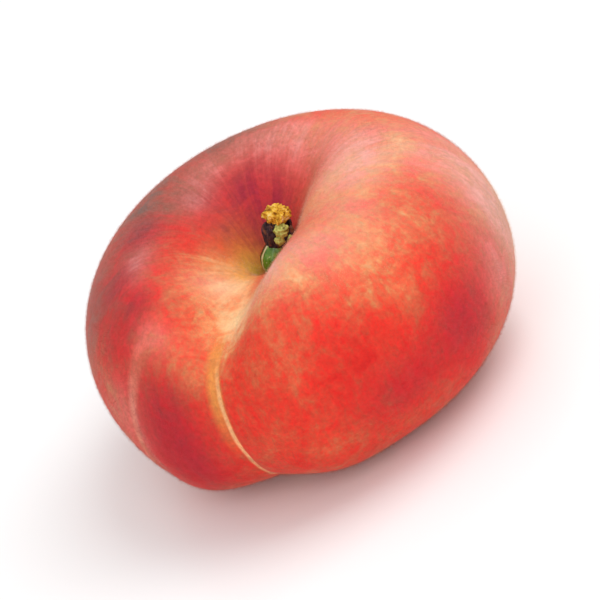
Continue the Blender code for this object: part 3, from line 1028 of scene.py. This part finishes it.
def crown_point(x, y, z):
    """The corky broken end: a low ball with uneven lobes, crumbling all over."""
    azimuth = math.atan2(y, x)
    second = math.sin(CROWN_SECOND_LOBES * azimuth + CROWN_TWIST * z)
    lobe = math.cos(CROWN_LOBES * azimuth) + CROWN_SECOND_SHARE * second
    across, along = CROWN_ROUGHNESS
    ragged = noise.noise(Vector((across * x, across * y, along * z + CROWN_NOISE_SHIFT)))
    uneven = CROWN_LOBE_SHARE * lobe * (1 - z * z) + CROWN_RAGGED_SHARE * ragged
    radius = CROWN_RADIUS * (1 + uneven)
    point = Vector((radius * x, radius * y, CROWN_HALF_HEIGHT * z))
    crumb = noise.voronoi(point / CRUMB_SIZE + CRUMB_SHIFT)[0][0]
    fine = noise.noise(point * CRUMB_FINENESS / CRUMB_SIZE)
    bump = CRUMB_MIDDLE - crumb + CRUMB_FINE_SHARE * fine
    point += Vector((x, y, z)) * CRUMB_HEIGHT * bump
    return point.x, point.y, CROWN_MIDDLE_HEIGHT + point.z


def stub_material():
    """Glossy green skin, pale along one edge, and beside that dark brown that is partly painted
    shadow.
    """
    nodes = Nodes("stem_green")
    at = nodes.place()
    stretched = nodes.add("ShaderNodeMapping", 0, {"Vector": at, "Scale": ALONG_STUB})
    streaks = nodes.noise(stretched, *STUB_STREAKS)
    colour = nodes.ramp(streaks, STUB_COLOURS)
    dots = nodes.between(nodes.noise(at, *DOTS), *DOTS_EDGE)
    colour = nodes.mix(dots, colour, DOTS_COLOUR)
    # The edges: a pale one, and a dark brown one that is partly painted shadow of the crevice
    # beside the stub
    for name, _, _, where, hue in STUB_EDGES:
        edge = nodes.calc("ADD", nodes.attribute(name), nodes.spread(streaks, EDGES_UNEVEN))
        colour = nodes.mix(nodes.between(edge, *where), colour, hue)
    return nodes.finish(
        Base_Color=colour,
        Roughness=nodes.between(streaks, *MOST_OF_NOISE, *STUB_ROUGHNESS),
        Normal=nodes.bump(streaks, *STUB_BUMP),
        Specular_IOR_Level=0.5,
    )


def knob_material():
    """Yellow green, browner in its hollows."""
    nodes = Nodes("stem_knob")
    at = nodes.place()
    patches = nodes.noise(at, *KNOB_PATCHES)
    return nodes.finish(
        Base_Color=nodes.ramp(patches, KNOB_COLOURS),
        Roughness=nodes.between(patches, *MOST_OF_NOISE, *KNOB_ROUGHNESS),
        Normal=nodes.bump(nodes.noise(at, *KNOB_GRAIN), *KNOB_BUMP),
        Specular_IOR_Level=0.4,
    )


def bark_material():
    """Dry dark bark with grey brown fibres along it, and rusty and purple patches."""
    nodes = Nodes("stem_bark")
    at = nodes.place()
    stretched = nodes.add("ShaderNodeMapping", 0, {"Vector": at, "Scale": ALONG_BARK})
    fibres = nodes.noise(stretched, *BARK_FIBRES)
    colour = nodes.ramp(fibres, BARK_COLOURS)
    for patches, where, share, hue in BARK_PATCHES:
        patch = nodes.between(nodes.noise(at, *patches), *where, 0.0, share)
        colour = nodes.mix(patch, colour, hue)
    return nodes.finish(
        Base_Color=colour,
        Roughness=nodes.between(fibres, *MOST_OF_NOISE, *BARK_ROUGHNESS),
        Normal=nodes.bump(fibres, *BARK_BUMP),
        Specular_IOR_Level=0.3,
    )


def cork_material():
    """Crumbling cork, golden yellow with orange and brown in its hollows."""
    nodes = Nodes("stem_cork")
    at = nodes.place()
    noises = {"patches": nodes.noise(at, *CORK_PATCHES), "crumbs": nodes.noise(at, *CORK_CRUMBS)}
    swings = {name: nodes.spread(value, 1.0) for name, value in noises.items()}
    return nodes.finish(
        Base_Color=nodes.ramp(nodes.weighed(swings, CORK_SHADED_BY, CORK_MIDDLE), CORK_COLOURS),
        Roughness=nodes.between(noises["patches"], *MOST_OF_NOISE, *CORK_ROUGHNESS),
        Normal=nodes.bump(noises["crumbs"], *CORK_BUMP),
        Specular_IOR_Level=0.2,
    )


def make_stem(centre):
    """The short woody stem, which leans in the cavity: stub, neck, bud scales, knobs and crown."""
    foot = centre + Vector((CAVITY_SHIFT[0], CAVITY_SHIFT[1], FLOOR_HEIGHT))
    lean_axis = Vector((-math.sin(STEM_LEAN_AZIMUTH), math.cos(STEM_LEAN_AZIMUTH), 0))
    place = Matrix.Translation(foot) @ Matrix.Rotation(STEM_LEAN, 4, lean_axis)
    bark, knob = bark_material(), knob_material()
    stub = stem_piece("stem_stub", STUB_MESH, stub_point, place, stub_material())
    upright = place.inverted()
    points = [upright @ vertex.co for vertex in stub.data.vertices]
    for name, facing, half_width, _, _ in STUB_EDGES:
        turns = [turn_from(math.atan2(point.y, point.x), facing) for point in points]
        add_attribute(stub.data, name, "FLOAT", [hump(turn, 0, half_width) for turn in turns])
    stem_piece("stem_neck", NECK_MESH, neck_point, place, bark)
    for number in range(SCALE_COUNT):
        shape = bud_scale_shape(number)
        stem_piece(f"bud_scale_{number + 1}", SCALE_MESH, shape, place, bark)
    for number, sizes in enumerate(KNOBS):
        shape = knob_shape(*sizes)
        stem_piece(f"stem_knob_{number + 1}", KNOB_MESH, shape, place, knob)
    stem_piece("stem_crown", CROWN_MESH, crown_point, place, cork_material())


def make_camera():
    turn = Vector(
        (
            math.sin(VIEW_AZIMUTH) * math.cos(VIEW_ELEVATION),
            -math.cos(VIEW_AZIMUTH) * math.cos(VIEW_ELEVATION),
            math.sin(VIEW_ELEVATION),
        )
    )
    data = bpy.data.cameras.new("camera")
    camera = linked("camera", data)
    camera.location = Vector(AIM) + turn * VIEW_DISTANCE
    camera.rotation_mode = "QUATERNION"
    level = (-turn).to_track_quat("-Z", "Y")
    camera.rotation_quaternion = level @ Quaternion((0, 0, 1), -VIEW_ROLL)
    data.sensor_width = SENSOR_WIDTH
    data.lens = SENSOR_WIDTH * VIEW_DISTANCE / (PHOTO_SPAN * PHOTO_PIXEL)
    bpy.context.scene.camera = camera
    return camera


def area_light(name, camera, place, size, energy):
    """A soft light that faces the fruit. Its place is given in the camera's right, up and back."""
    turn = camera.rotation_quaternion.to_matrix()
    aim = Vector(AIM)
    data = bpy.data.lights.new(name, "AREA")
    data.size = size
    data.energy = energy
    light = linked(name, data)
    light.location = aim + turn @ Vector(place)
    light.rotation_mode = "QUATERNION"
    light.rotation_quaternion = (aim - light.location).to_track_quat("-Z", "Y")


def make_floor():
    builder = bmesh.new()
    bmesh.ops.create_grid(builder, x_segments=1, y_segments=1, size=FLOOR_HALF_SIZE)
    mesh = bpy.data.meshes.new("floor")
    builder.to_mesh(mesh)
    builder.free()
    nodes = Nodes("floor")
    paper = nodes.mix(nodes.noise(nodes.place(), *PAPER_GRAIN), *PAPER_COLOURS)
    mesh.materials.append(nodes.finish(Base_Color=paper, Roughness=PAPER_ROUGHNESS))
    linked("floor", mesh)


def make_studio(camera):
    world = bpy.data.worlds.new("studio")
    world.use_nodes = True
    background = world.node_tree.nodes["Background"]
    background.inputs["Color"].default_value = (1.0, 1.0, 1.0, 1.0)
    background.inputs["Strength"].default_value = WORLD_STRENGTH
    bpy.context.scene.world = world
    for name, place, size, energy in LIGHTS:
        area_light(name, camera, place, size, energy)
    bpy.context.scene.view_settings.view_transform = "Standard"


make_studio(make_camera())
make_floor()
make_stem(make_fruit())
